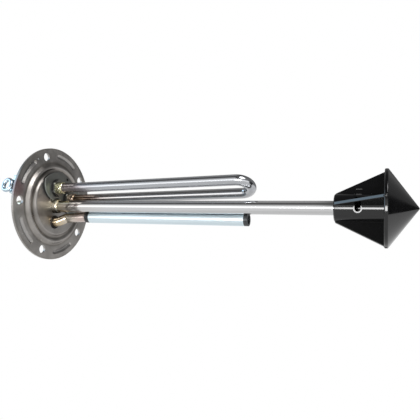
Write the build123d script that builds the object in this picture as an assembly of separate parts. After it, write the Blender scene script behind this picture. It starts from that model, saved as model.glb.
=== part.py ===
from build123d import *
import os
from math import asin, atan2, cos, degrees, hypot, radians, sin

# Flanged heating group of a small storage water heater. A pressed round flange carries a
# hairpin heater, a long inlet tube that ends in a finned diffuser nose, a short draw-off
# stub with a push-on sleeve, and a wire eye at the rim.
# Millimetres. The origin is the bolt circle's centre on the flange's tank-side face. +X
# points into the tank along the tubes, +Z is up and +Y is the far side. Angles round X
# are counted from +Y towards +Z.

# Clearance of a round part in its bore or on its shank, on the radius.
fit = 0.05

# Tank flange, pressed from sheet. Heights are the tank-side face above the flat land.
flange_diameter = 96.0
flange_sheet = 2.0
press_radius = 1.1
plateau_height = 3.4
plateau_radius = 26.2
plateau_slope_width = 1.8
moat_height = 1.6
moat_width = 1.6
bead_height = 2.6
bead_rise_width = 1.8
bead_crest_width = 1.4
bead_fall_width = 2.4
bolt_rim_distance = 7.0
bolt_count = 5
bolt_hole_diameter = 7.0
bolt_first_angle = 31.5
rib_rim_distance = 6.3
rib_span = 30.0
rib_width = 4.0
rib_bottom_width = 0.7
rib_depth = 1.2
rib_back_rise = 0.8
rib_back_margin = 0.6
vent_hole_diameter = 1.8
vent_rim_distance = 5.5
vent_hole_angle = 117.6

# Hairpin heater. Its two legs stand on a line that is turned from +Y by leg_line_angle.
leg_line_angle = -31.1
leg_line_offset = 9.9
leg_pair_shift = -0.9
leg_spacing = 18.3
sheath_diameter = 8.2
sheath_wall = 0.6
sheath_back = 22.0
lean_start = 15.0
lean_bend_radius = 60.0
lean_along = -0.0215
lean_up = 0.022
hairpin_length = 180.0
cold_run = 28.0
pin_diameter = 3.0
pin_back = 34.0
coil_diameter = 4.0
bead_spigot = 3.0
bead_head = 2.5
bead_head_diameter = 8.0
tab_width = 6.3
tab_sheet = 0.8
tab_length = 12.0
tab_overlap = 8.0
tab_hole_diameter = 1.7
tab_hole_from_tip = 4.0
tab_tip_cut = 1.3

# Plate on the plateau that the legs stand in, with their ferrules, nuts and seals.
pad_thickness = 2.2
pad_axis_offset = 12.0
pad_length = 52.8
pad_width = 27.2
pad_trim_diameter = 55.4
pad_scallop_gap = 0.6
pad_edge_break = 0.5
spare_hole_diameter = 2.4
spare_hole_along = -2.3
spare_hole_up = 23.4
ferrule_diameter = 9.2
ferrule_front = 4.6
ferrule_back = 9.0
ferrule_chamfer = 0.3
seal_diameter = 15.2
seal_thickness = 0.7
nut_across_flats = 13.0
nut_thickness = 2.0
nut_chamfer = 0.45
nut_turn = 90.0
back_nut_thickness = 4.0

# Long inlet tube.
tube_y = -3.4
tube_z = -2.0
tube_diameter = 10.0
tube_wall = 1.0
tube_back = 36.0
tube_into_nose = 12.0
tube_collar_base = 12.2
tube_collar_top = 11.0
tube_collar_height = 5.4

# Hose end of each pipe behind the flange: a plain stretch, then a rolled bead.
tail_length = 16.0
tail_bead_width = 3.2
tail_bead_height = 0.7

# Draw-off stub: it leaves the flange at one place and is cranked to the sleeve's axis.
stub_y = -4.0
stub_z = -15.6
stub_diameter = 8.0
stub_wall = 0.8
stub_back = 30.0
stub_collar_base = 11.6
stub_collar_top = 9.6
stub_collar_height = 0.8
crank_start = 6.5
crank_run = 6.0
crank_first_rise = 5.0
crank_settle = 2.0
crank_bend_radius = 8.0
crank_y = 5.0
crank_z = 4.5

# Sleeve on the stub.
bush_start = 33.0
bush_length = 4.0
bush_diameter = 9.1
sleeve_length = 135.5
sleeve_wall = 0.7
stub_in_sleeve = 18.0
end_ring_lip = 3.0
end_ring_spigot = 5.0
end_ring_bore = 6.5

# Diffuser nose, one moulding on the long tube's end.
nose_start = 237.5
skirt_length = 34.0
cone_length = 19.1
rim_diameter = 52.4
rim_thickness = 2.2
rim_round = 0.7
cone_wall = 1.8
socket_diameter = 19.5
socket_wall = 1.6
socket_chamfer = 0.7
grip_length = 7.0
tip_blunt = 0.6
fin_count = 4
fin_first_angle = 71.0
fin_thickness = 2.2
fin_root_height = 0.3
fin_rim_overhang = 0.5
fin_edge_radius = 0.35
fin_bead_diameter = 3.0
slot_offset = 13.5
slot_width = 4.0
slot_end_angle = 180.5
slot_lip_width = 0.8
slot_lip_height = 0.6
groove_height = 3.7
groove_depth = 0.6

# Eye lug behind the rim.
lug_angle = 159.6
lug_length = 15.2
lug_width = 5.0
lug_thickness = 3.0
lug_rim_distance = 1.7
lug_corner = 0.8
eye_shift = 1.7
eye_wire = 3.1
eye_length = 11.9
eye_width = 10.4
eye_drop = 0.7

# Derived once.
flange_radius = flange_diameter / 2
bolt_circle_radius = flange_radius - bolt_rim_distance
rib_radius = flange_radius - rib_rim_distance
vent_hole_radius = flange_radius - vent_rim_distance
lug_edge_radius = flange_radius - lug_rim_distance
land_back = -flange_sheet
tail_end = tail_length + tail_bead_width
pad_front = plateau_height + pad_thickness
nut_seat = pad_front + seal_thickness
nut_front = nut_seat + nut_thickness
ferrule_end = nut_front + ferrule_front
plateau_back = plateau_height - flange_sheet
sheath_inner = sheath_diameter / 2 - sheath_wall
tube_radius = tube_diameter / 2
stub_radius = stub_diameter / 2
sleeve_y = stub_y + crank_y
sleeve_z = stub_z + crank_z
sleeve_start = bush_start + bush_length
sleeve_end = sleeve_start + sleeve_length
sleeve_bore = stub_radius + fit
sleeve_radius = sleeve_bore + sleeve_wall
rim_radius = rim_diameter / 2
rim_x = nose_start + skirt_length
tip_x = rim_x + cone_length
socket_radius = socket_diameter / 2
cavity_radius = socket_radius - socket_wall
cone_axial_wall = cone_wall * hypot(cone_length, rim_radius) / rim_radius

flange_face = Plane.YZ
leg_frame = Plane(
    origin=(0, 0, 0),
    x_dir=(0, cos(radians(leg_line_angle)), sin(radians(leg_line_angle))),
    z_dir=(1, 0, 0),
)
lug_frame = Plane(
    origin=(0, 0, 0),
    x_dir=(0, cos(radians(lug_angle)), sin(radians(lug_angle))),
    z_dir=(1, 0, 0),
)
leg_sides = {"near": -1, "far": 1}
inward = Vector(1, 0, 0)


def leg_place(side):
    """Along and up place of one leg in the leg frame."""
    return leg_pair_shift + leg_sides[side] * leg_spacing / 2, leg_line_offset


def leg_point(side, x):
    """Point of one leg's straight root at the height x."""
    along, up = leg_place(side)
    return leg_frame.from_local_coords(Vector(along, up, x))


def tube_place(plane, x, y, z):
    """The plane moved out by x and centred at y, z."""
    return plane.offset(x) * Pos(y, z)


def pipe(y, z, outer, inner, x0, x1):
    """Straight pipe along X between x0 and x1, by its radii."""
    section = Circle(outer) - Circle(inner)
    return extrude(tube_place(flange_face, x0, y, z) * section, x1 - x0)


def bar(y, z, radius, x0, x1):
    """Straight round bar along X between x0 and x1."""
    return extrude(tube_place(flange_face, x0, y, z) * Circle(radius), x1 - x0)


def weld_collar(y, z, bore, base, top, height):
    """Cone-shaped collar round a pipe, standing on the plateau."""
    lines = Polyline(
        (plateau_height, bore),
        (plateau_height, base / 2),
        (plateau_height + height / 4, base / 2),
        (plateau_height + height, top / 2),
        (plateau_height + height, bore),
        close=True,
    )
    return Pos(0, y, z) * revolve(make_face(lines), Axis.X)


def flange_profile():
    """Section of the pressed sheet, from the axis to the rim."""
    radii = [0, plateau_radius]
    for width in (plateau_slope_width, moat_width, bead_rise_width, bead_crest_width):
        radii.append(radii[-1] + width)
    radii.append(radii[-1] + bead_fall_width)
    radii.append(flange_radius)
    heights = [plateau_height, plateau_height, moat_height, moat_height]
    heights += [bead_height, bead_height, 0, 0]
    front = FilletPolyline(*zip(heights, radii), radius=press_radius)
    back = Pos(-flange_sheet, 0) * front
    rim = Line(front @ 1, back @ 1)
    axis = Line(back @ 0, front @ 0)
    return make_face(front + rim + back + axis)


def rib_start(k):
    """Angle where the arc rib between two bolt holes starts."""
    return bolt_first_angle + (k + 0.5) * 360 / bolt_count - rib_span / 2


def rib_back(k):
    """Flat back of one arc rib."""
    arc = CenterArc((0, 0), rib_radius, rib_start(k), rib_span)
    outline = SlotArc(arc, rib_width + 2 * rib_back_margin)
    return extrude(flange_face.offset(land_back) * outline, -rib_back_rise)


def rib_groove(k):
    """V-shaped front of one arc rib, with cone ends, cut from above the face."""
    low = rib_bottom_width / 2
    high = rib_width - low
    d = rib_depth
    section = make_face(Polyline((-d, -low), (-d, low), (d, high), (d, -high), close=True))
    groove = revolve(Pos(0, rib_radius) * section, Axis.X, rib_span)
    half = make_face(Polyline((-d, 0), (-d, low), (d, high), (d, 0), close=True))
    end = Pos(0, rib_radius, 0) * revolve(half, Axis.X)
    groove += [end, Rot(rib_span, 0, 0) * end]
    return Rot(rib_start(k), 0, 0) * groove


def flange_plate():
    """Pressed flange: bead, plateau, arc ribs, bolt holes and the holes of the pipes."""
    plate = revolve(flange_profile(), Axis.X)
    for k in range(bolt_count):
        plate += rib_back(k)
        plate -= rib_groove(k)
    for spot in PolarLocations(bolt_circle_radius, bolt_count, bolt_first_angle):
        hole = flange_face * spot * Circle(bolt_hole_diameter / 2)
        plate -= extrude(hole, 2 * flange_sheet, both=True)
    vent = PolarLocations(vent_hole_radius, 1, vent_hole_angle)
    for spot in vent:
        hole = flange_face * spot * Circle(vent_hole_diameter / 2)
        plate -= extrude(hole, 2 * flange_sheet, both=True)
    deep = plateau_height + flange_sheet
    plate -= bar(tube_y, tube_z, tube_radius + fit, -deep, deep)
    plate -= bar(stub_y, stub_z, stub_radius + fit, -deep, deep)
    for side in leg_sides:
        spot = leg_frame.offset(-deep) * Pos(*leg_place(side))
        plate -= extrude(spot * Circle(ferrule_diameter / 2 + fit), 2 * deep)
    return plate


def element_plate():
    """Thin plate under the legs, trimmed round and cut clear of the long tube's collar."""
    outline = Pos(0, pad_axis_offset) * SlotOverall(pad_length, pad_width)
    outline &= Circle(pad_trim_diameter / 2)
    outline -= Pos(spare_hole_along, spare_hole_up) * Circle(spare_hole_diameter / 2)
    plate = extrude(leg_frame.offset(plateau_height) * outline, pad_thickness)
    scallop = tube_collar_base / 2 + pad_scallop_gap
    plate -= bar(tube_y, tube_z, scallop, plateau_height - 1, pad_front + 1)
    rim = plate.faces().sort_by(Axis.X)[-1].outer_wire().edges()
    plate = chamfer(rim, pad_edge_break)
    for side in leg_sides:
        spot = leg_frame.offset(plateau_height - 1) * Pos(*leg_place(side))
        hole = spot * Circle(ferrule_diameter / 2 + fit)
        plate -= extrude(hole, pad_thickness + 2)
    return plate


def leg_ring(side, outer, inner, x0, x1):
    """Ring round one leg's root."""
    section = Circle(outer) - Circle(inner)
    return extrude(leg_frame.offset(x0) * Pos(*leg_place(side)) * section, x1 - x0)


def leg_ferrule(side):
    """Threaded ferrule brazed on the leg, through the plate and the flange."""
    bore = sheath_diameter / 2 + fit
    ring = leg_ring(side, ferrule_diameter / 2, bore, -ferrule_back, ferrule_end)
    outer_end = ring.edges().filter_by(GeomType.CIRCLE).group_by(Axis.X)[-1]
    return chamfer(outer_end.sort_by(SortBy.RADIUS)[-1], ferrule_chamfer)


def leg_seal(side):
    """Flat seal between the plate and the nut."""
    bore = ferrule_diameter / 2 + fit
    return leg_ring(side, seal_diameter / 2, bore, pad_front, nut_seat)


def leg_nut(side, x0, thickness, outer_up):
    """Thin hexagon nut on the ferrule, its outer corners broken by a cone."""
    frame = leg_frame.offset(x0) * Pos(*leg_place(side))
    corner = nut_across_flats / 3**0.5
    turn = nut_turn - leg_line_angle
    hexagon = RegularPolygon(corner, 6, rotation=turn)
    nut = extrude(frame * hexagon, thickness)
    crown = corner - nut_chamfer
    if outer_up:
        lines = [(0, 0), (corner, 0), (corner, thickness - nut_chamfer)]
        lines += [(crown, thickness), (0, thickness)]
    else:
        lines = [(0, 0), (crown, 0), (corner, nut_chamfer), (corner, thickness)]
        lines += [(0, thickness)]
    profile = make_face(Polyline(*lines, close=True))
    cone = revolve(Plane.XZ * profile, Axis.Z)
    nut &= Plane(frame) * cone
    bore = frame * Circle(ferrule_diameter / 2 + fit)
    return nut - extrude(bore, thickness)


def lean_direction():
    """Direction of the hairpin past its lean."""
    return (
        inward + leg_frame.x_dir * lean_along + leg_frame.y_dir * lean_up
    ).normalized()


def root_end(side):
    """End of the straight root, where the lean starts."""
    return leg_point(side, lean_start)


def run_start(side):
    """End of the gentle bend into the lean."""
    turn = degrees(asin(hypot(lean_along, lean_up)))
    tangent = lean_bend_radius * sin(radians(turn / 2))
    return root_end(side) + (inward + lean_direction()) * tangent


def run_length(side):
    """Length of the straight run from the lean to the U-bend."""
    lean = lean_direction()
    across = run_start("far") - run_start("near")
    reach = (leg_spacing + sheath_diameter) / 2
    near = (hairpin_length - run_start("near").X) / lean.X - reach
    return near if side == "near" else near - across.dot(lean)


def root_path(side, x0):
    """Root of one leg from x0 to the end of its bend into the lean."""
    start = leg_point(side, x0)
    bend = TangentArc(root_end(side), run_start(side), tangent=inward)
    return [Line(start, root_end(side)), bend]


def run_path(side, from_run, to_run):
    """Stretch of the straight run between two distances from the lean."""
    lean = lean_direction()
    start = run_start(side)
    return Line(start + lean * from_run, start + lean * to_run)


def u_bend():
    """Half circle that joins the two runs."""
    lean = lean_direction()
    ends = [run_start(s) + lean * run_length(s) for s in ("near", "far")]
    middle = (ends[0] + ends[1]) / 2
    crown = middle + lean * ((ends[1] - ends[0]).length / 2)
    return ThreePointArc(ends[0], crown, ends[1])


def hairpin_path(x0):
    """Centre line of the whole hairpin, its open ends at x0."""
    near = root_path("near", x0) + [run_path("near", 0, run_length("near"))]
    far = root_path("far", x0) + [run_path("far", 0, run_length("far"))]
    return Wire([c.edge() for c in near + [u_bend()] + far[::-1]])


def coil_path(inset):
    """Centre line of the heated stretch, both ends drawn in by inset."""
    near = run_path("near", cold_run + inset, run_length("near"))
    far = run_path("far", cold_run + inset, run_length("far"))
    return Wire([c.edge() for c in (near, u_bend(), far)])


def pin_path(side):
    """Centre line of one cold pin."""
    lines = root_path(side, -pin_back) + [run_path(side, 0, cold_run)]
    return Wire([c.edge() for c in lines])


def swept(path, start, along, radius):
    """Round section swept along a path from its start."""
    return sweep(Plane(origin=start, z_dir=along) * Circle(radius), path)


def hairpin_swept(x0, radius):
    return swept(hairpin_path(x0), leg_point("near", x0), inward, radius)


def coil_swept(inset, radius):
    start = run_start("near") + lean_direction() * (cold_run + inset)
    return swept(coil_path(inset), start, lean_direction(), radius)


def pin_swept(side, radius):
    return swept(pin_path(side), leg_point(side, -pin_back), inward, radius)


def heater_sheath():
    """Hairpin tube of the heater."""
    outer = hairpin_swept(-sheath_back, sheath_diameter / 2)
    return outer - hairpin_swept(-sheath_back, sheath_inner)


def magnesia_core():
    """Packed powder round the pins and the coil."""
    core = hairpin_swept(-sheath_back + bead_spigot + fit, sheath_inner - fit)
    core -= coil_swept(0, coil_diameter / 2 + fit)
    for side in leg_sides:
        core -= pin_swept(side, pin_diameter / 2 + fit)
    return core


def resistance_coil():
    """The wound wire as one closed round bar."""
    return coil_swept(fit, coil_diameter / 2)


def cold_pin(side):
    return pin_swept(side, pin_diameter / 2)


def end_seal(side):
    """Ceramic bead with a spigot in the sheath's end."""
    bore = pin_diameter / 2 + fit
    spigot = leg_ring(side, sheath_inner - fit, bore, -sheath_back, bead_spigot - sheath_back)
    head_end = -sheath_back - bead_head
    return spigot + leg_ring(side, bead_head_diameter / 2, bore, head_end, -sheath_back)


def spade_terminal(side):
    """Flat tab welded to the side of the pin."""
    root = tab_overlap - pin_back
    outline = Rectangle(tab_width, tab_length)
    tip = outline.vertices().group_by(Axis.Y)[0]
    outline = chamfer(tip, tab_tip_cut)
    hole = Pos(0, tab_hole_from_tip - tab_length / 2) * Circle(tab_hole_diameter / 2)
    along, up = leg_place(side)
    face = up + pin_diameter / 2 + fit
    centre = leg_frame.from_local_coords(Vector(along, face, root - tab_length / 2))
    plane = Plane(origin=centre, x_dir=-leg_frame.x_dir, z_dir=leg_frame.y_dir)
    return extrude(plane * (outline - hole), tab_sheet)


def hose_tail(outer, wall, x0):
    """Pipe end from x0 in: its plain stretch and the bead that keeps a hose on."""
    inner = outer - wall
    bump = x0 + tail_length
    stop = x0 + tail_end
    crest = (bump + stop) / 2
    lines = [Line((bump, inner), (x0, inner)), Line((x0, inner), (x0, outer))]
    lines.append(Line((x0, outer), (bump, outer)))
    top = (crest, outer + tail_bead_height)
    lines.append(ThreePointArc((bump, outer), top, (stop, outer)))
    lines.append(Line((stop, outer), (stop, inner)))
    under = (crest, inner + tail_bead_height)
    lines.append(ThreePointArc((stop, inner), under, (bump, inner)))
    return revolve(make_face(lines), Axis.X)


def long_tube():
    """Inlet tube: its hose end, then straight through the flange into the nose."""
    start = -tube_back
    tail = Pos(0, tube_y, tube_z) * hose_tail(tube_radius, tube_wall, start)
    radii = (tube_radius, tube_radius - tube_wall)
    nose_end = nose_start + tube_into_nose
    return tail + pipe(tube_y, tube_z, *radii, start + tail_end, nose_end)


def long_tube_collar():
    sizes = (tube_collar_base, tube_collar_top, tube_collar_height)
    return weld_collar(tube_y, tube_z, tube_radius + fit, *sizes)


def stub_collar():
    sizes = (stub_collar_base, stub_collar_top, stub_collar_height)
    return weld_collar(stub_y, stub_z, stub_radius + fit, *sizes)


def stub_path():
    """Centre line of the stub, in the plane of X and its crank."""
    rise = hypot(crank_y, crank_z)
    return FilletPolyline(
        (tail_end - stub_back, 0),
        (crank_start, 0),
        (crank_start + crank_run, crank_first_rise),
        (bush_start - crank_settle, rise),
        (sleeve_start + stub_in_sleeve, rise),
        radius=crank_bend_radius,
    )


def stub_tube():
    """Draw-off stub: its hose end, straight through the flange, cranked, then straight."""
    turn = degrees(atan2(crank_z, crank_y))
    line = stub_path()
    start = Plane(origin=line @ 0, z_dir=line % 0)
    tube = sweep(start * Circle(stub_radius), line)
    tube -= sweep(start * Circle(stub_radius - stub_wall), line)
    tube += hose_tail(stub_radius, stub_wall, -stub_back)
    return Pos(0, stub_y, stub_z) * Rot(turn, 0, 0) * tube


def sleeve_bush():
    """Bush on the stub, against the sleeve's end."""
    bore = stub_radius + fit
    return pipe(sleeve_y, sleeve_z, bush_diameter / 2, bore, bush_start, sleeve_start)


def sleeve():
    return pipe(sleeve_y, sleeve_z, sleeve_radius, sleeve_bore, sleeve_start, sleeve_end)


def sleeve_end_ring():
    """Open end ring: a lip on the sleeve's end and a spigot inside it."""
    bore = end_ring_bore / 2
    lip = pipe(sleeve_y, sleeve_z, sleeve_radius, bore, sleeve_end, sleeve_end + end_ring_lip)
    inside = (sleeve_bore - fit, bore, sleeve_end - end_ring_spigot, sleeve_end)
    return lip + pipe(sleeve_y, sleeve_z, *inside)


def cone_x(radius, depth):
    """Place on the nose's cone at a radius, depth below its outer face along X."""
    return tip_x - depth - cone_length * radius / rim_radius


def nose_shell():
    """Socket, base rim and hollow cone, turned in one profile about the tube's axis."""
    bore = tube_radius + fit
    rim_inner = rim_radius - cone_wall
    rim_back = rim_x - rim_thickness
    lines = Polyline(
        (nose_start, bore),
        (nose_start, socket_radius - socket_chamfer),
        (nose_start + socket_chamfer, socket_radius),
        (cone_x(socket_radius, cone_axial_wall), socket_radius),
        (cone_x(rim_inner, cone_axial_wall), rim_inner),
        (rim_back, rim_inner),
        (rim_back, rim_radius),
        (rim_x, rim_radius),
        (cone_x(tip_blunt, 0), tip_blunt),
        (cone_x(tip_blunt / 3, 0), 0),
        (cone_x(0, cone_axial_wall), 0),
        (cone_x(cavity_radius, cone_axial_wall), cavity_radius),
        (nose_start + grip_length, cavity_radius),
        (nose_start + grip_length, bore),
        close=True,
    )
    section = make_face(lines)
    rim_corners = section.vertices().sort_by(Axis.Y)[-2:]
    return revolve(fillet(rim_corners, rim_round), Axis.X)


def nose_fin():
    """One fin, in the plane of X and +Y, rooted in the socket, the rim and the cone."""
    root = socket_radius - socket_wall / 2
    low = socket_radius + fin_root_height
    tip = rim_radius + fin_rim_overhang
    slope = (tip - low) / skirt_length
    rim_inside = rim_x - rim_thickness / 2
    start = nose_start + socket_chamfer
    edge = Vector(1, slope, 0)
    corners = [(start, root), (start, low + slope * socket_chamfer)]
    corners.append((rim_inside, low + slope * (rim_inside - nose_start)))
    corners.append((cone_x(root, cone_axial_wall / 2), root))
    fin = extrude(make_face(Polyline(*corners, close=True)), fin_thickness / 2, both=True)
    outer = fin.edges().filter_by(Axis((0, 0, 0), edge))
    fin = fillet(outer, fin_edge_radius)
    bead = tip - fin_bead_diameter / 2
    return fin + Pos(rim_inside, bead, 0) * Sphere(fin_bead_diameter / 2)


def slot_body(x0, x1, end_radius, top):
    """Solid of the curved slot between the top fin and its round end."""
    under = cavity_radius - 1
    first = fin_first_angle + degrees(asin(fin_thickness / 2 / socket_radius)) - 2
    strip = Polyline((x0, under), (x1, under), (x1, top), (x0, top), close=True)
    sector = revolve(make_face(strip), Axis.X, slot_end_angle - first)
    middle = nose_start + slot_offset + slot_width / 2
    round_end = Pos(middle, (under + top) / 2, 0) * Rot(90, 0, 0)
    round_end *= Cylinder(end_radius, top - under)
    return Rot(first, 0, 0) * sector + Rot(slot_end_angle, 0, 0) * round_end


def nose():
    """Diffuser nose: shell, four fins, the curved slot with its lip, and the fin groove."""
    body = nose_shell()
    for k in range(fin_count):
        body += Rot(fin_first_angle + k * 360 / fin_count, 0, 0) * nose_fin()
    slot_start = nose_start + slot_offset
    slot_stop = slot_start + slot_width
    lip_top = socket_radius + slot_lip_height
    half = slot_width / 2
    body -= slot_body(slot_start, slot_stop, half, socket_radius + 0.02)
    lip = slot_body(slot_start - slot_lip_width, slot_start + half, half + slot_lip_width, lip_top)
    lip -= slot_body(slot_start, slot_stop, half, lip_top + 1)
    lip -= bar(0, 0, socket_radius - socket_wall / 2, nose_start, rim_x)
    body += lip
    middle = slot_start + half
    groove = Pos(middle, socket_radius + groove_height / 2, fin_thickness / 2)
    groove *= Box(slot_width, groove_height, 2 * groove_depth)
    body -= Rot(fin_first_angle, 0, 0) * groove
    return Pos(0, tube_y, tube_z) * body


def lug_bar():
    """Flat bar behind the rim, standing on the back of one arc rib."""
    front = land_back - rib_back_rise - fit
    outline = Rectangle(lug_width, lug_length)
    outline = fillet(outline.vertices(), lug_corner)
    place = lug_frame.offset(front) * Pos(lug_edge_radius - lug_width / 2, 0)
    return extrude(place * outline, -lug_thickness)


def lug_eye():
    """Bent wire eye at the bar's outer edge."""
    out = lug_edge_radius + fit + eye_wire / 2
    middle = land_back - eye_drop - eye_width / 2
    centre = lug_frame.from_local_coords(Vector(out, eye_shift, middle))
    plane = Plane(origin=centre, x_dir=lug_frame.y_dir, z_dir=lug_frame.x_dir)
    loop = SlotOverall(eye_length - eye_wire, eye_width - eye_wire).wire()
    loop = plane * loop
    return sweep(Plane(origin=loop @ 0, z_dir=loop % 0) * Circle(eye_wire / 2), loop)


def pieces():
    """Every piece by its name."""
    parts = {"flange_plate": flange_plate(), "element_plate": element_plate()}
    for side in leg_sides:
        parts[f"leg_ferrule_{side}"] = leg_ferrule(side)
        parts[f"leg_seal_{side}"] = leg_seal(side)
        parts[f"leg_nut_{side}"] = leg_nut(side, nut_seat, nut_thickness, True)
        back = plateau_back - back_nut_thickness
        parts[f"back_nut_{side}"] = leg_nut(side, back, back_nut_thickness, False)
        parts[f"cold_pin_{side}"] = cold_pin(side)
        parts[f"end_seal_{side}"] = end_seal(side)
        parts[f"spade_terminal_{side}"] = spade_terminal(side)
    parts["heater_sheath"] = heater_sheath()
    parts["magnesia_core"] = magnesia_core()
    parts["resistance_coil"] = resistance_coil()
    parts["long_tube"] = long_tube()
    parts["long_tube_collar"] = long_tube_collar()
    parts["stub_tube"] = stub_tube()
    parts["stub_collar"] = stub_collar()
    parts["sleeve_bush"] = sleeve_bush()
    parts["sleeve"] = sleeve()
    parts["sleeve_end_ring"] = sleeve_end_ring()
    parts["nose"] = nose()
    parts["lug_bar"] = lug_bar()
    parts["lug_eye"] = lug_eye()
    return parts


os.makedirs("parts", exist_ok=True)
for name, shape in pieces().items():
    export_step(shape, f"parts/{name}.step")
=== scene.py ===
import math

import bpy
from bpy.props import FloatProperty, FloatVectorProperty, IntProperty, PointerProperty
from bpy.types import Operator, Panel, PropertyGroup
from mathutils import Matrix, Vector


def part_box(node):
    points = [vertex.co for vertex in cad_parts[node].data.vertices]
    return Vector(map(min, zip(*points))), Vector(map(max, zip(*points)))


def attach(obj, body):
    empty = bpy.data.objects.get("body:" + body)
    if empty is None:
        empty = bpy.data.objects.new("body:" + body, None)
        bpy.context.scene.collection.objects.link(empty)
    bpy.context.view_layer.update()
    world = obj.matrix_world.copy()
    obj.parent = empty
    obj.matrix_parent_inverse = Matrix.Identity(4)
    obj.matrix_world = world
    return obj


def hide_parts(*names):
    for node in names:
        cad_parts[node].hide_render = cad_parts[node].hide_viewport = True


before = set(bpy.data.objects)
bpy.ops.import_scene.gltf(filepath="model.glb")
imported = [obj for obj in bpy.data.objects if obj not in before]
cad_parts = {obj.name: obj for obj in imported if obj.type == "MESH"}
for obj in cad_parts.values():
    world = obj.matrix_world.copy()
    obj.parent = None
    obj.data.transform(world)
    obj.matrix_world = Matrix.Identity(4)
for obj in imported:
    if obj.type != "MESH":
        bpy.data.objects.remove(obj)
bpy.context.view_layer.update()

bl_info = {
    "name": "Water heater flange group",
    "version": (1, 0, 0),
    "blender": (4, 5, 0),
    "location": "View3D > Sidebar > Heater",
    "description": "Dresses the flanged heating group and sets its studio",
    "category": "Object",
}

# Axes of the long tube and of the stub's root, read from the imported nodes.
TUBE_LOW, TUBE_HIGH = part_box("long_tube_collar")
STUB_LOW, STUB_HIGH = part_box("stub_collar")
LEG_LINE = math.radians(-31.1)
PAD_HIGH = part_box("element_plate")[1]

# Camera of the photograph, in metres, for a frame of 420 by 420.
CAMERA_PLACE = (0.27460, -0.33037, 0.00216)
CAMERA_RIGHT = (0.93111, 0.36472, 0.00192)
CAMERA_UP = (-0.0082, 0.01566, 0.99984)
CAMERA_BACK = (0.36463, -0.93098, 0.01757)
CAMERA_LENS = 40.134


def grey(*levels):
    """Stops of (angle, colour) from pairs of angle and level."""
    return [(angle, (level, level, level)) for angle, level in levels]


# The studio that metal and gloss see. Each zone holds for directions right of where its
# blend starts, and lists its light by the angle about X: 0 faces the viewer, 90 is up.
STUDIO_PEAK = 20.0
STUDIO_ZONES = (
    (None, None, [
        (-180, (0.3, 0.3, 0.3)), (-90, (0.2, 0.2, 0.2)), (-15, (0.3, 0.3, 0.3)), (0, (1.2, 1.2, 1.2)),
        (12, (0.8, 0.8, 0.8)), (24, (2.6, 3.5, 4.3)), (66, (2.6, 3.5, 4.3)), (80, (0.5, 0.55, 0.6)),
        (180, (0.3, 0.3, 0.3)),
    ]),
    (-0.70, -0.66, grey(
        (-180, 0.2), (-150, 0.12), (-132, 0.3), (-112, 0.26), (-98, 0.06), (-78, 0.05), (-68, 0.25),
        (-58, 0.95), (-40, 1.0), (-32, 0.3), (-22, 0.25), (-16, 1.1), (-8, 2.4), (8, 2.6), (18, 1.5),
        (38, 0.75), (52, 0.4), (62, 0.08), (76, 0.1), (92, 0.32), (125, 0.55), (148, 0.25), (180, 0.2),
    )),
    (-0.15, -0.10, grey(
        (-180, 0.16), (-152, 0.9), (-146, 0.3), (-122, 0.02), (-108, 0.05), (-97, 0.6), (-58, 0.75),
        (-42, 0.5), (-34, 0.1), (-20, 0.2), (-9, 0.5), (-5, 19), (5, 19), (9, 1.1), (24, 1.0),
        (32, 0.15), (45, 0.1), (110, 0.1), (150, 0.2), (180, 0.16),
    )),
    (0.30, 0.45, grey(
        (-180, 0.34), (-120, 0.22), (-60, 0.3), (-28, 0.5), (-16, 1.7), (16, 1.7), (28, 0.5), (70, 0.3),
        (130, 0.26), (180, 0.34),
    )),
    (0.86, 0.93, grey(
        (-180, 0.04), (-120, 0.06), (-60, 0.3), (-30, 1.5), (30, 1.5), (60, 0.3), (120, 0.06), (180, 0.04),
    )),
)


# ---- small tools for node trees


def new_material(name):
    """An empty node material and its tree."""
    material = bpy.data.materials.new(name)
    material.use_nodes = True
    tree = material.node_tree
    tree.nodes.clear()
    return material, tree


def put(tree, kind, **values):
    """A new node. Settings go to its attributes; any other setting raises KeyError."""
    node = tree.nodes.new(kind)
    for key, value in values.items():
        if hasattr(node, key):
            setattr(node, key, value)
        else:
            raise KeyError(f"{kind} has no setting {key}")
    return node


def join(tree, source, target):
    """Links an output socket to an input socket."""
    tree.links.new(source, target)


def maths(tree, operation, first, second=None, third=None, clamp=False):
    """A Math node whose inputs are sockets or plain numbers."""
    node = put(tree, "ShaderNodeMath", operation=operation, use_clamp=clamp)
    for slot, value in zip(node.inputs, (first, second, third)):
        if value is None:
            continue
        if isinstance(value, (int, float)):
            slot.default_value = value
        else:
            join(tree, value, slot)
    return node.outputs[0]


def span(tree, value, low, high, out_low=0.0, out_high=1.0, smooth=True):
    """Maps a range of a value onto another range, held at both ends."""
    node = put(tree, "ShaderNodeMapRange")
    node.interpolation_type = "SMOOTHSTEP" if smooth else "LINEAR"
    join(tree, value, node.inputs["Value"])
    for name, number in (("From Min", low), ("From Max", high), ("To Min", out_low), ("To Max", out_high)):
        node.inputs[name].default_value = number
    return node.outputs["Result"]


def blend_colour(tree, amount, first, second, mode="MIX"):
    """Mixes two colours, each a socket or a plain colour."""
    node = put(tree, "ShaderNodeMix", data_type="RGBA", blend_type=mode)
    for slot, value in ((node.inputs[0], amount), (node.inputs[6], first), (node.inputs[7], second)):
        if isinstance(value, bpy.types.NodeSocket):
            join(tree, value, slot)
        elif isinstance(value, (int, float)):
            slot.default_value = value
        else:
            slot.default_value = (*value, 1.0)
    return node.outputs[2]


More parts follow.
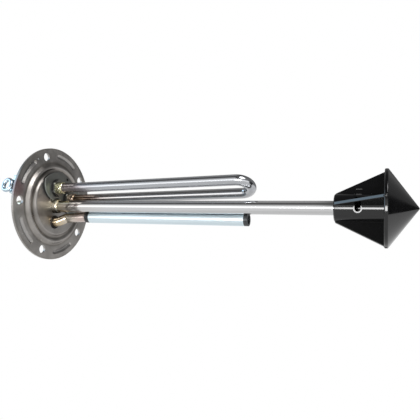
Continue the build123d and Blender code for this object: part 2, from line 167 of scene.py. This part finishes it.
def ramp(tree, value, stops, easing="LINEAR"):
    """A colour ramp with stops of (place, colour)."""
    node = put(tree, "ShaderNodeValToRGB")
    node.color_ramp.interpolation = easing
    elements = node.color_ramp.elements
    while len(elements) > 1:
        elements.remove(elements[-1])
    elements[0].position = stops[0][0]
    elements[0].color = (*stops[0][1], 1.0)
    for place, colour in stops[1:]:
        elements.new(place).color = (*colour, 1.0)
    join(tree, value, node.inputs[0])
    return node.outputs[0]


def noise(tree, vector, scale, detail=3.0, roughness=0.55, distortion=0.0):
    """Value of a noise pattern."""
    node = put(tree, "ShaderNodeTexNoise")
    join(tree, vector, node.inputs["Vector"])
    node.inputs["Scale"].default_value = scale
    node.inputs["Detail"].default_value = detail
    node.inputs["Roughness"].default_value = roughness
    node.inputs["Distortion"].default_value = distortion
    return node.outputs["Fac"]


def placed(tree, move=(0, 0, 0), turn=(0, 0, 0), stretch=(1, 1, 1)):
    """Object coordinates, moved, turned and stretched."""
    source = put(tree, "ShaderNodeTexCoord")
    node = put(tree, "ShaderNodeMapping")
    join(tree, source.outputs["Object"], node.inputs["Vector"])
    node.inputs["Location"].default_value = move
    node.inputs["Rotation"].default_value = turn
    node.inputs["Scale"].default_value = stretch
    return node.outputs["Vector"]


def parts_of(tree, vector):
    """The three numbers of a vector."""
    node = put(tree, "ShaderNodeSeparateXYZ")
    join(tree, vector, node.inputs[0])
    return node.outputs[0], node.outputs[1], node.outputs[2]


def surface(tree, colour, roughness, metallic=0.0, bump=None, strength=0.2, distance=0.0002, **fixed):
    """The Principled shader and the output that end each material."""
    shader = put(tree, "ShaderNodeBsdfPrincipled")
    for name, value in (("Base Color", colour), ("Roughness", roughness)):
        slot = shader.inputs[name]
        if isinstance(value, bpy.types.NodeSocket):
            join(tree, value, slot)
        elif isinstance(value, (int, float)):
            slot.default_value = value
        else:
            slot.default_value = (*value, 1.0)
    shader.inputs["Metallic"].default_value = metallic
    for name, value in fixed.items():
        shader.inputs[name.replace("_", " ")].default_value = value
    if bump is not None:
        node = put(tree, "ShaderNodeBump")
        node.inputs["Strength"].default_value = strength
        node.inputs["Distance"].default_value = distance
        join(tree, bump, node.inputs["Height"])
        join(tree, node.outputs["Normal"], shader.inputs["Normal"])
    output = put(tree, "ShaderNodeOutputMaterial")
    join(tree, shader.outputs[0], output.inputs["Surface"])
    return shader


# ---- finishes


def drawn_tube(name, base, tint, roughness=0.2):
    """Drawn stainless tube along X: long fine streaks, and heat tint by its place along X."""
    material, tree = new_material(name)
    fine = noise(tree, placed(tree, stretch=(12, 700, 700)), 1.0, 2.0)
    cloud = noise(tree, placed(tree, stretch=(60, 160, 160)), 1.0, 2.0)
    x = parts_of(tree, placed(tree))[0]
    wander = maths(tree, "MULTIPLY_ADD", cloud, 0.006, -0.003)
    place = span(tree, maths(tree, "ADD", x, wander), 0.0, 0.3, smooth=False)
    tone = ramp(tree, place, tint)
    colour = blend_colour(tree, 1.0, base, tone, "MULTIPLY")
    colour = blend_colour(tree, span(tree, fine, 0.4, 0.7, 0.0, 0.3), colour, tuple(0.75 * c for c in base))
    gloss = span(tree, fine, 0.2, 0.8, roughness - 0.03, roughness + 0.05)
    surface(tree, colour, gloss, 1.0, fine, 0.05, 0.00003)
    return material


def sheath_finish(base):
    """The hairpin's tube: each leg has its own tint near the plate."""
    material, tree = new_material("hairpin_sheath_finish")
    x, y, z = parts_of(tree, placed(tree))
    across = maths(
        tree, "ADD",
        maths(tree, "MULTIPLY", y, math.cos(LEG_LINE)),
        maths(tree, "MULTIPLY", z, math.sin(LEG_LINE)),
    )
    far = span(tree, across, -0.0035, 0.0005)
    fine = noise(tree, placed(tree, stretch=(12, 700, 700)), 1.0, 2.0)
    cloud = noise(tree, placed(tree, stretch=(90, 200, 200)), 1.0, 2.0)
    wander = maths(tree, "MULTIPLY_ADD", cloud, 0.008, -0.004)
    place = span(tree, maths(tree, "ADD", x, wander), 0.0, 0.2, smooth=False)
    near_tint = ramp(tree, place, [
        (0.0, (0.75, 0.66, 0.55)),
        (0.075, (0.70, 0.62, 0.62)),
        (0.15, (0.80, 0.75, 0.80)),
        (0.24, (0.92, 0.95, 1.0)),
        (1.0, (0.96, 0.97, 1.0)),
    ])
    far_tint = ramp(tree, place, [
        (0.0, (0.5, 0.36, 0.28)),
        (0.07, (0.52, 0.36, 0.27)),
        (0.13, (0.62, 0.46, 0.38)),
        (0.2, (0.8, 0.72, 0.68)),
        (0.3, (0.95, 0.93, 0.92)),
        (1.0, (0.97, 0.97, 1.0)),
    ])
    tone = blend_colour(tree, far, near_tint, far_tint)
    colour = blend_colour(tree, 1.0, base, tone, "MULTIPLY")
    colour = blend_colour(tree, span(tree, fine, 0.4, 0.7, 0.0, 0.3), colour, tuple(0.75 * c for c in base))
    gloss = span(tree, fine, 0.2, 0.8, 0.11, 0.2)
    surface(tree, colour, gloss, 1.0, fine, 0.05, 0.00003)
    return material


def flange_finish(base):
    """Pressed flange: turned satin, painted shade in the creases, a heat tint at the rim, gold round the tubes."""
    material, tree = new_material("flange_satin_steel")
    x, y, z = parts_of(tree, placed(tree))
    radius = maths(tree, "SQRT", maths(tree, "ADD", maths(tree, "MULTIPLY", y, y), maths(tree, "MULTIPLY", z, z)))
    rings = put(tree, "ShaderNodeCombineXYZ")
    join(tree, radius, rings.inputs[0])
    grain = noise(tree, rings.outputs[0], 1400.0, 3.0)
    cloud = noise(tree, placed(tree, stretch=(60, 60, 60)), 1.2, 4.0)
    streak = noise(tree, placed(tree, stretch=(90, 40, 420)), 1.0, 3.0)
    colour = blend_colour(tree, span(tree, cloud, 0.3, 0.7), tuple(0.78 * c for c in base), tuple(1.18 * c for c in base))
    colour = blend_colour(tree, span(tree, streak, 0.45, 0.75, 0.0, 0.25), colour, (0.30, 0.29, 0.27))
    band = span(tree, radius, 0.0, 0.05, smooth=False)
    # painted shade: this ramp darkens the flange in rings along its creases and at its rim edge, where shade falls
    painted_crease_shade = ramp(tree, band, [
        (0.0, (1, 1, 1)), (0.50, (1, 1, 1)), (0.555, (0.62, 0.6, 0.58)), (0.60, (0.75, 0.73, 0.7)),
        (0.63, (1, 1, 1)), (0.69, (0.9, 0.88, 0.86)), (0.715, (0.6, 0.58, 0.55)), (0.75, (0.95, 0.95, 0.95)),
        (0.93, (1, 1, 1)), (0.962, (0.85, 0.83, 0.8)),
    ])
    colour = blend_colour(tree, 0.85, colour, painted_crease_shade, "MULTIPLY")
    spot = put(tree, "ShaderNodeVectorMath", operation="DISTANCE")
    join(tree, placed(tree), spot.inputs[0])
    spot.inputs[1].default_value = (0, -0.0440, 0.0130)
    near_spot = span(tree, spot.outputs["Value"], 0.0035, 0.011, 1.0, 0.0)
    colour = blend_colour(tree, maths(tree, "MULTIPLY", near_spot, 0.6), colour, (0.16, 0.075, 0.085))
    back = span(tree, x, -0.0012, -0.0002, 1.0, 0.0)
    colour = blend_colour(tree, maths(tree, "MULTIPLY", back, 0.5), colour, (0.33, 0.33, 0.33))
    gloss = span(tree, cloud, 0.3, 0.7, 0.27, 0.42)
    surface(tree, colour, gloss, 1.0, grain, 0.08, 0.00006)
    return material


def dull_plate(name, base, metallic=0.75, roughness=0.42):
    """Dull plated steel: soft clouds and faint scratches."""
    material, tree = new_material(name)
    cloud = noise(tree, placed(tree, stretch=(90, 90, 90)), 1.3, 4.0)
    scratch = noise(tree, placed(tree, turn=(0.5, 0, 0), stretch=(300, 1600, 120)), 1.0, 2.0)
    colour = blend_colour(tree, span(tree, cloud, 0.3, 0.7), tuple(0.85 * c for c in base), tuple(1.12 * c for c in base))
    colour = blend_colour(tree, span(tree, scratch, 0.6, 0.75, 0.0, 0.3), colour, tuple(1.5 * c for c in base))
    gloss = span(tree, cloud, 0.3, 0.7, roughness - 0.06, roughness + 0.08)
    surface(tree, colour, gloss, metallic, scratch, 0.1, 0.00005)
    return material


def plate_with_painted_shadow_edge(name, base, painted_shadow_top, black):
    """Dull plate; below the given height its edge is painted black and matt, a painted shadow under the plate."""
    material, tree = new_material(name)
    x = parts_of(tree, placed(tree))[0]
    # painted shadow: this mask keeps the plate's colour above the given height and marks the edge below it for black
    # paint
    plate = span(tree, x, painted_shadow_top - 0.00005, painted_shadow_top + 0.00005)
    cloud = noise(tree, placed(tree, stretch=(90, 90, 90)), 1.3, 4.0)
    scratch = noise(tree, placed(tree, turn=(0.5, 0, 0), stretch=(300, 1600, 120)), 1.0, 2.0)
    colour = blend_colour(tree, span(tree, cloud, 0.3, 0.7), tuple(0.8 * c for c in base), tuple(1.15 * c for c in base))
    colour = blend_colour(tree, span(tree, scratch, 0.6, 0.75, 0.0, 0.3), colour, tuple(1.5 * c for c in base))
    z = parts_of(tree, placed(tree))[2]
    # darker towards the top: higher up, the plate's colour is blended towards a dark grey
    darker_towards_top = span(tree, maths(tree, "MULTIPLY_ADD", cloud, 0.006, z), 0.014, 0.024, 0.0, 0.55)
    colour = blend_colour(tree, darker_towards_top, colour, (0.10, 0.095, 0.09))
    # painted shadow: the edge below the height is painted black
    colour = blend_colour(tree, plate, black, colour)
    gloss = span(tree, cloud, 0.3, 0.7, 0.34, 0.48)
    shader = surface(tree, colour, gloss, 0.8, scratch, 0.1, 0.00005)
    # the painted shadow band below the height is also made non-metal
    join(tree, maths(tree, "MULTIPLY", plate, 0.8), shader.inputs["Metallic"])
    return material


def brass_finish(name, base, dark):
    """Turned brass with a flux stain."""
    material, tree = new_material(name)
    stain = noise(tree, placed(tree, stretch=(220, 220, 220)), 1.4, 4.0)
    rings = noise(tree, placed(tree, stretch=(2600, 40, 40)), 1.0, 2.0)
    colour = blend_colour(tree, span(tree, stain, 0.42, 0.68), base, dark)
    gloss = span(tree, stain, 0.3, 0.7, 0.16, 0.36)
    surface(tree, colour, gloss, 1.0, rings, 0.15, 0.00008)
    return material


def weld_finish(name, pale, gold, dark):
    """Weld metal: pale above, straw and brown, with painted shade darkening it below."""
    material, tree = new_material(name)
    z = parts_of(tree, placed(tree))[2]
    patch = noise(tree, placed(tree, stretch=(320, 320, 320)), 1.0, 3.0)
    colour = blend_colour(tree, span(tree, patch, 0.35, 0.65), pale, gold)
    low = TUBE_LOW.z if "tube" in name else STUB_LOW.z
    high = TUBE_HIGH.z if "tube" in name else STUB_HIGH.z
    middle = (low + high) / 2
    height = maths(tree, "ADD", z, maths(tree, "MULTIPLY_ADD", patch, 0.004, -0.002))
    # painted shade: below its middle the weld is darkened towards its third tone, where shade falls under it
    painted_shade_below = span(tree, height, middle - 0.0045, middle + 0.0005, 0.92, 0.0)
    colour = blend_colour(tree, painted_shade_below, colour, dark)
    gloss = span(tree, patch, 0.3, 0.7, 0.2, 0.45)
    surface(tree, colour, gloss, 1.0, patch, 0.4, 0.0003)
    return material


def moulded_gloss(base):
    """Black glossy moulding with faint lighter flow marks."""
    material, tree = new_material("nose_gloss_black")
    flow = noise(tree, placed(tree, stretch=(18, 60, 60)), 1.0, 3.0)
    colour = blend_colour(tree, span(tree, flow, 0.3, 0.7), base, tuple(1.6 * c for c in base))
    gloss = span(tree, flow, 0.3, 0.7, 0.05, 0.12)
    surface(tree, colour, gloss, 0.0, IOR=1.5)
    return material


def matt_polymer(name, base, roughness=0.55):
    """Plain moulded or pressed soft black part."""
    material, tree = new_material(name)
    grain = noise(tree, placed(tree, stretch=(900, 900, 900)), 1.0, 2.0)
    colour = blend_colour(tree, span(tree, grain, 0.3, 0.7), tuple(0.8 * c for c in base), tuple(1.3 * c for c in base))
    surface(tree, colour, roughness, 0.0, grain, 0.2, 0.00008)
    return material


def zinc_finish(name, base):
    """Bright bluish zinc plating."""
    material, tree = new_material(name)
    cloud = noise(tree, placed(tree, stretch=(260, 260, 260)), 1.2, 3.0)
    colour = blend_colour(tree, span(tree, cloud, 0.3, 0.7), tuple(0.8 * c for c in base), base)
    gloss = span(tree, cloud, 0.3, 0.7, 0.14, 0.3)
    surface(tree, colour, gloss, 1.0, cloud, 0.1, 0.0001)
    return material


def ceramic_finish(name, base):
    """Fired bead or packed powder."""
    material, tree = new_material(name)
    grain = noise(tree, placed(tree, stretch=(1500, 1500, 1500)), 1.0, 2.0)
    colour = blend_colour(tree, span(tree, grain, 0.35, 0.65), tuple(0.9 * c for c in base), base)
    surface(tree, colour, 0.5, 0.0, grain, 0.15, 0.0001)
    return material


# ---- small tools for meshes


def deselect():
    """Leaves edit mode and clears the selection."""
    if bpy.context.object and bpy.context.object.mode != "OBJECT":
        bpy.ops.object.mode_set(mode="OBJECT")
    bpy.ops.object.select_all(action="DESELECT")


def only(piece):
    """Selects one object alone and makes it active."""
    deselect()
    piece.select_set(True)
    bpy.context.view_layer.objects.active = piece


def settle(piece, name, material, smooth=35.0):
    """Places the mesh in the frame, shades it, gives it its finish and its body."""
    only(piece)
    bpy.ops.object.transform_apply(location=True, rotation=True, scale=True)
    bpy.ops.object.shade_smooth_by_angle(angle=math.radians(smooth))
    piece.name = name
    piece.data.name = name
    piece.data.materials.clear()
    piece.data.materials.append(material)
    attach(piece, "root")
    return piece


def turned(profile, centre, steps=72):
    """A solid of revolution about a line along X: profile points are (x, radius)."""
    deselect()
    bpy.ops.mesh.primitive_plane_add(size=0.001, location=(0, 0, 0))
    piece = bpy.context.object
    bpy.ops.object.mode_set(mode="EDIT")
    bpy.ops.mesh.select_all(action="SELECT")
    bpy.ops.mesh.merge(type="CENTER")
    first = profile[0]
    bpy.ops.transform.translate(value=(first[0], first[1], 0))
    last = first
    for point in profile[1:] + [first]:
        step = (point[0] - last[0], point[1] - last[1], 0)
        bpy.ops.mesh.extrude_region_move(TRANSFORM_OT_translate={"value": step})
        last = point
    bpy.ops.mesh.select_all(action="SELECT")
    bpy.ops.mesh.remove_doubles(threshold=1e-6)
    bpy.ops.mesh.select_all(action="SELECT")
    bpy.ops.mesh.spin(steps=steps, angle=math.tau, center=(0, 0, 0), axis=(1, 0, 0))
    bpy.ops.mesh.select_all(action="SELECT")
    bpy.ops.mesh.remove_doubles(threshold=2e-6)
    bpy.ops.mesh.select_all(action="SELECT")
    bpy.ops.mesh.normals_make_consistent(inside=False)
    bpy.ops.transform.translate(value=(0, centre[0], centre[1]))
    bpy.ops.object.mode_set(mode="OBJECT")
    return piece


def roughen(piece, name, size, strength):
    """Displaces a mesh by a cloud pattern, applied."""
    texture = bpy.data.textures.new(name, "CLOUDS")
    texture.noise_scale = size
    only(piece)
    modifier = piece.modifiers.new(name, "DISPLACE")
    modifier.texture = texture
    modifier.texture_coords = "LOCAL"
    modifier.strength = strength
    modifier.mid_level = 0.5
    bpy.ops.object.modifier_apply(modifier=modifier.name)


# ---- settings


class HeaterSettings(PropertyGroup):
    """Sizes and colours that a user would change."""

    bead_ripples: IntProperty(name="Weld ripples", description="Ripples round each weld", default=26, min=8)
    bead_lump: FloatProperty(
        name="Weld lump", description="Height of the weld's lumps", default=0.0004, subtype="DISTANCE", unit="LENGTH"
    )
    braze_knobs: IntProperty(name="Braze knobs", description="Knobs round each braze ring", default=11, min=4)
    braze_height: FloatProperty(
        name="Braze height", description="Height of the braze's knobs", default=0.0003, subtype="DISTANCE", unit="LENGTH"
    )
    flange_colour: FloatVectorProperty(
        name="Flange", description="Colour of the flange", default=(0.33, 0.315, 0.30), subtype="COLOR", size=3
    )
    plate_colour: FloatVectorProperty(
        name="Plate", description="Colour of the element plate", default=(0.19, 0.205, 0.19), subtype="COLOR", size=3
    )
    sheath_colour: FloatVectorProperty(
        name="Sheath", description="Colour of the hairpin", default=(0.46, 0.465, 0.47), subtype="COLOR", size=3
    )
    tube_colour: FloatVectorProperty(
        name="Tube", description="Colour of the long tube", default=(0.60, 0.60, 0.60), subtype="COLOR", size=3
    )
    sleeve_colour: FloatVectorProperty(
        name="Sleeve", description="Colour of the sleeve", default=(0.66, 0.76, 0.81), subtype="COLOR", size=3
    )
    nose_colour: FloatVectorProperty(
        name="Nose", description="Colour of the nose", default=(0.0022, 0.0022, 0.0025), subtype="COLOR", size=3
    )


class HEATER_OT_plain_nodes(Operator):
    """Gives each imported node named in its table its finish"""

    bl_idname = "heater.plain_nodes"
    bl_label = "Finish the packed nodes"

    def execute(self, context):
        s = context.scene.heater
        nut = dull_plate("nut_plated_steel", (0.17, 0.17, 0.155), 0.9, 0.3)
        seal = matt_polymer("seal_black_rubber", (0.01, 0.01, 0.01), 0.6)
        brass = brass_finish("ferrule_brass", (0.85, 0.80, 0.55), (0.30, 0.24, 0.12))
        dark_brass = brass_finish("ferrule_brass_stained", (0.58, 0.46, 0.32), (0.20, 0.13, 0.08))
        pin = drawn_tube("pin_steel", (0.5, 0.5, 0.49), [(0.0, (1, 1, 1)), (1.0, (1, 1, 1))])
        bead = ceramic_finish("bead_white_ceramic", (0.8, 0.78, 0.72))
        tab = brass_finish("tab_tinned_brass", (0.62, 0.6, 0.54), (0.45, 0.42, 0.34))
        finishes = {
            "flange_plate": flange_finish(tuple(s.flange_colour)),
            # painted shadow: the element plate's edge below the given height is painted black for the shadow under it
            "element_plate": plate_with_painted_shadow_edge(
                "element_plate_steel", tuple(s.plate_colour), PAD_HIGH.x - 0.0007, (0.006, 0.006, 0.006)
            ),
            "heater_sheath": sheath_finish(tuple(s.sheath_colour)),
            "magnesia_core": ceramic_finish("packed_magnesia", (0.8, 0.79, 0.76)),
            "resistance_coil": dull_plate("coil_wire", (0.2, 0.19, 0.18), 0.9, 0.4),
            "long_tube": drawn_tube("long_tube_steel", tuple(s.tube_colour), [
                (0.0, (0.95, 0.86, 0.66)), (0.03, (0.95, 0.84, 0.62)), (0.075, (0.92, 0.88, 0.84)),
                (0.2, (0.97, 0.98, 1.0)), (1.0, (0.97, 0.97, 0.97)),
            ], 0.09),
            "stub_tube": drawn_tube("stub_tube_steel", (0.6, 0.57, 0.52), [
                (0.0, (0.9, 0.72, 0.5)), (0.03, (0.9, 0.76, 0.55)), (0.06, (1.0, 0.98, 0.94)),
                (0.09, (0.85, 0.74, 0.74)), (0.12, (0.8, 0.7, 0.72)), (1.0, (0.9, 0.9, 0.9)),
            ], 0.16),
            "sleeve": drawn_tube("sleeve_bright_steel", tuple(s.sleeve_colour), [(0.0, (1, 1, 1)), (1.0, (1, 1, 1))], 0.3),
            "sleeve_bush": matt_polymer("bush_black", (0.012, 0.012, 0.014), 0.4),
            "sleeve_end_ring": matt_polymer("end_ring_dark", (0.05, 0.052, 0.056), 0.35),
            "nose": moulded_gloss(tuple(s.nose_colour)),
            "lug_bar": zinc_finish("bar_bright_zinc", (0.56, 0.66, 0.72)),
            "lug_eye": zinc_finish("eye_bright_zinc", (0.5, 0.6, 0.68)),
            "leg_ferrule_near": brass,
            "leg_ferrule_far": dark_brass,
            "spade_terminal_near": tab,
            "spade_terminal_far": tab,
        }
        for side in ("near", "far"):
            finishes[f"leg_seal_{side}"] = seal
            finishes[f"leg_nut_{side}"] = nut
            finishes[f"back_nut_{side}"] = nut
            finishes[f"cold_pin_{side}"] = pin
            finishes[f"end_seal_{side}"] = bead
        for name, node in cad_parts.items():
            if name in finishes:
                node.data.materials.clear()
                node.data.materials.append(finishes[name])
        return {"FINISHED"}


class HEATER_OT_weld_beads(Operator):
    """Models the lumpy weld round each pipe in place of its plain collar"""

    bl_idname = "heater.weld_beads"
    bl_label = "Weld beads"

    def execute(self, context):
        s = context.scene.heater
        for node, low, high, bore, name in (
            ("long_tube_collar", TUBE_LOW, TUBE_HIGH, 0.00503, "tube_weld_bead"),
            ("stub_collar", STUB_LOW, STUB_HIGH, 0.00403, "stub_weld_bead"),
        ):
            centre = ((low.y + high.y) / 2, (low.z + high.z) / 2)
            base = (high.y - low.y) / 2 - 0.0001
            top = bore + 0.0003
            x0, x1 = low.x + 0.00002, high.x - 0.00005
            rise = x1 - x0
            profile = [(x0, bore), (x0, base)]
            for k in range(1, 13):
                t = k / 12
                radius = top + (base - top) * math.cos(0.5 * math.pi * t ** 2.2) ** 0.6
                profile.append((x0 + rise * t, radius))
            profile.append((x1, bore))
            bead = turned(profile, centre, 96)
            only(bead)
            for vertex in bead.data.vertices:
                offset = Vector((0, vertex.co.y - centre[0], vertex.co.z - centre[1]))
                if offset.length < bore + 0.0002:
                    continue
                angle = math.atan2(offset.z, offset.y)
                height = (vertex.co.x - x0) / rise
                ripple = math.sin(angle * s.bead_ripples + 5 * height) * 0.00008
                lump = math.sin(3 * angle + 1.3) * s.bead_lump * 0.5 * (1 - height)
                vertex.co += offset.normalized() * min(ripple + lump, base - offset.length)
            finish = weld_finish(name + "_metal", *WELD_TONES[name])
            settle(bead, name, finish, 60.0)
            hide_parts(node)
        return {"FINISHED"}


class HEATER_OT_stage(Operator):
    """Sets the floor, the surroundings, the lamps and the camera"""

    bl_idname = "heater.stage"
    bl_label = "Studio stage"

    def execute(self, context):
        self.floor()
        self.surroundings()
        self.lamps()
        self.camera()
        return {"FINISHED"}

    def floor(self):
        deselect()
        bpy.ops.mesh.primitive_circle_add(
            vertices=96, radius=3.0, fill_type="NGON", location=(0.12, 0, -0.34)
        )
        floor = bpy.context.object
        floor.name = "studio_floor"
        material, tree = new_material("studio_floor_white")
        path = put(tree, "ShaderNodeLightPath")
        matt = put(tree, "ShaderNodeBsdfDiffuse")
        matt.inputs["Color"].default_value = (0.8, 0.8, 0.8, 1)
        glow = put(tree, "ShaderNodeEmission")
        glow.inputs["Color"].default_value = (1, 1, 1, 1)
        glow.inputs["Strength"].default_value = 1.0
        x, y, z = parts_of(tree, placed(tree))
        flat = maths(tree, "SQRT", maths(tree, "ADD", maths(tree, "MULTIPLY", x, x), maths(tree, "MULTIPLY", y, y)))
        share = span(tree, flat, 0.18, 0.34, 0.55, 1.0)
        seen = maths(tree, "MAXIMUM", path.outputs["Is Camera Ray"], path.outputs["Is Transmission Ray"])
        seen = maths(tree, "MAXIMUM", seen, path.outputs["Is Glossy Ray"])
        mixed = put(tree, "ShaderNodeMixShader")
        join(tree, maths(tree, "MULTIPLY", share, seen), mixed.inputs[0])
        join(tree, matt.outputs[0], mixed.inputs[1])
        join(tree, glow.outputs[0], mixed.inputs[2])
        output = put(tree, "ShaderNodeOutputMaterial")
        join(tree, mixed.outputs[0], output.inputs["Surface"])
        floor.data.materials.append(material)

    def surroundings(self):
        """White to the camera. Metal and gloss see a studio that changes with direction."""
        scene = bpy.context.scene
        world = scene.world or bpy.data.worlds.new("studio")
        scene.world = world
        world.use_nodes = True
        tree = world.node_tree
        tree.nodes.clear()
        path = put(tree, "ShaderNodeLightPath")
        source = put(tree, "ShaderNodeTexCoord")
        x, y, z = parts_of(tree, source.outputs["Generated"])
        angle = maths(tree, "ARCTAN2", z, maths(tree, "MULTIPLY", y, -1.0))
        place = span(tree, angle, -math.pi, math.pi, smooth=False)
        tone = None
        for low, high, levels in STUDIO_ZONES:
            stops = [((a + 180) / 360, tuple(v / STUDIO_PEAK for v in colour)) for a, colour in levels]
            band = ramp(tree, place, stops)
            tone = band if tone is None else blend_colour(tree, span(tree, x, low, high), tone, band)
        studio = put(tree, "ShaderNodeBackground")
        join(tree, tone, studio.inputs["Color"])
        studio.inputs["Strength"].default_value = STUDIO_PEAK
        plain = put(tree, "ShaderNodeBackground")
        plain.inputs["Color"].default_value = (1, 1, 1, 1)
        plain.inputs["Strength"].default_value = 0.62
        white = put(tree, "ShaderNodeBackground")
        white.inputs["Color"].default_value = (1, 1, 1, 1)
        white.inputs["Strength"].default_value = 1.0
        first = put(tree, "ShaderNodeMixShader")
        join(tree, path.outputs["Is Glossy Ray"], first.inputs[0])
        join(tree, plain.outputs[0], first.inputs[1])
        join(tree, studio.outputs[0], first.inputs[2])
        second = put(tree, "ShaderNodeMixShader")
        seen = maths(tree, "MAXIMUM", path.outputs["Is Camera Ray"], path.outputs["Is Transmission Ray"])
        join(tree, seen, second.inputs[0])
        join(tree, first.outputs[0], second.inputs[1])
        join(tree, white.outputs[0], second.inputs[2])
        output = put(tree, "ShaderNodeOutputWorld")
        join(tree, second.outputs[0], output.inputs["Surface"])

    def lamps(self):
        deselect()
        place = Vector((0.9, -0.6, 1.3))
        bpy.ops.object.light_add(type="AREA", location=place)
        lamp = bpy.context.object
        lamp.name = "key_lamp"
        lamp.data.size = 0.7
        lamp.data.energy = 14.0
        direction = Vector((0.1, 0, 0)) - place
        lamp.rotation_euler = direction.to_track_quat("-Z", "Y").to_euler()

    def camera(self):
        deselect()
        bpy.ops.object.camera_add(location=CAMERA_PLACE)
        camera = bpy.context.object
        camera.name = "photo_camera"
        turn = Matrix((CAMERA_RIGHT, CAMERA_UP, CAMERA_BACK)).transposed()
        camera.rotation_euler = turn.to_euler()
        camera.data.sensor_width = 36.0
        camera.data.lens = CAMERA_LENS
        camera.data.clip_start = 0.01
        camera.data.clip_end = 20.0
        bpy.context.scene.camera = camera
        bpy.context.scene.view_settings.view_transform = "Standard"


class HEATER_OT_braze_rings(Operator):
    """Models the knobbly braze round the outer end of each leg's ferrule"""

    bl_idname = "heater.braze_rings"
    bl_label = "Braze rings"

    def execute(self, context):
        s = context.scene.heater
        for side, pale, dark in (
            ("near", (0.86, 0.84, 0.58), (0.22, 0.20, 0.09)),
            ("far", (0.62, 0.50, 0.40), (0.12, 0.08, 0.06)),
        ):
            low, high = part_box(f"leg_ferrule_{side}")
            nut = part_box(f"leg_nut_{side}")[1].x
            centre = ((low.y + high.y) / 2, (low.z + high.z) / 2)
            bore = (high.y - low.y) / 2 + 0.00001
            x0, x1 = nut + 0.0001, high.x - 0.0003
            rows = 18
            profile = [(x0, bore)]
            for k in range(rows + 1):
                t = k / rows
                swell = math.sin(math.pi * min(1.0, 0.12 + 0.88 * t)) ** 0.5
                profile.append((x0 + (x1 - x0) * t, bore + 0.00002 + 0.0002 * swell))
            profile.append((x1, bore))
            ring = turned(profile, centre, 120)
            only(ring)
            for vertex in ring.data.vertices:
                offset = Vector((0, vertex.co.y - centre[0], vertex.co.z - centre[1]))
                if offset.length < bore + 0.000015:
                    continue
                angle = math.atan2(offset.z, offset.y)
                t = (vertex.co.x - x0) / (x1 - x0)
                knob = math.sin(s.braze_knobs * angle) * math.sin(3 * math.pi * t)
                vertex.co += offset.normalized() * (0.5 + 0.5 * knob) * s.braze_height
            finish = brass_finish(f"braze_{side}", pale, dark)
            settle(ring, f"braze_ring_{side}", finish, 40.0)
        return {"FINISHED"}


class HEATER_OT_flange_pip(Operator):
    """Adds the small bead of spatter on the flange"""

    bl_idname = "heater.flange_pip"
    bl_label = "Flange pip"

    def execute(self, context):
        deselect()
        bpy.ops.mesh.primitive_uv_sphere_add(segments=24, ring_count=12, radius=0.0005, location=(0.0006, -0.0179, -0.0300))
        pip = bpy.context.object
        finish = dull_plate("flange_pip_steel", (0.6, 0.59, 0.56), 0.9, 0.3)
        settle(pip, "flange_pip", finish, 60.0)
        return {"FINISHED"}


# Pale, middle and painted-shade tone of each weld; the stub's weld is painted near black all through, a painted shadow.
WELD_TONES = {
    "tube_weld_bead": ((0.82, 0.79, 0.68), (0.55, 0.48, 0.34), (0.02, 0.018, 0.015)),
    # painted shadow: all three stub tones are near black, for the shadow round the stub's root
    "stub_weld_bead": ((0.10, 0.09, 0.08), (0.05, 0.045, 0.04), (0.01, 0.01, 0.01)),
}

STEPS = (
    HEATER_OT_plain_nodes, HEATER_OT_weld_beads, HEATER_OT_braze_rings, HEATER_OT_flange_pip, HEATER_OT_stage
)


class HEATER_PT_sidebar(Panel):
    """Lists the steps in the 3D view's sidebar"""

    bl_idname = "HEATER_PT_sidebar"
    bl_label = "Heater"
    bl_space_type = "VIEW_3D"
    bl_region_type = "UI"
    bl_category = "Heater"

    def draw(self, context):
        for name in HeaterSettings.__annotations__:
            self.layout.prop(context.scene.heater, name)
        for step in STEPS:
            self.layout.operator(step.bl_idname)


CLASSES = (HeaterSettings, *STEPS, HEATER_PT_sidebar)


def register():
    for cls in CLASSES:
        bpy.utils.register_class(cls)
    bpy.types.Scene.heater = PointerProperty(type=HeaterSettings)


def unregister():
    del bpy.types.Scene.heater
    for cls in reversed(CLASSES):
        bpy.utils.unregister_class(cls)


def main():
    """Registers the add-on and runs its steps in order."""
    register()
    bpy.ops.heater.plain_nodes()
    bpy.ops.heater.weld_beads()
    bpy.ops.heater.braze_rings()
    bpy.ops.heater.flange_pip()
    bpy.ops.heater.stage()


if __name__ == "__main__":
    main()
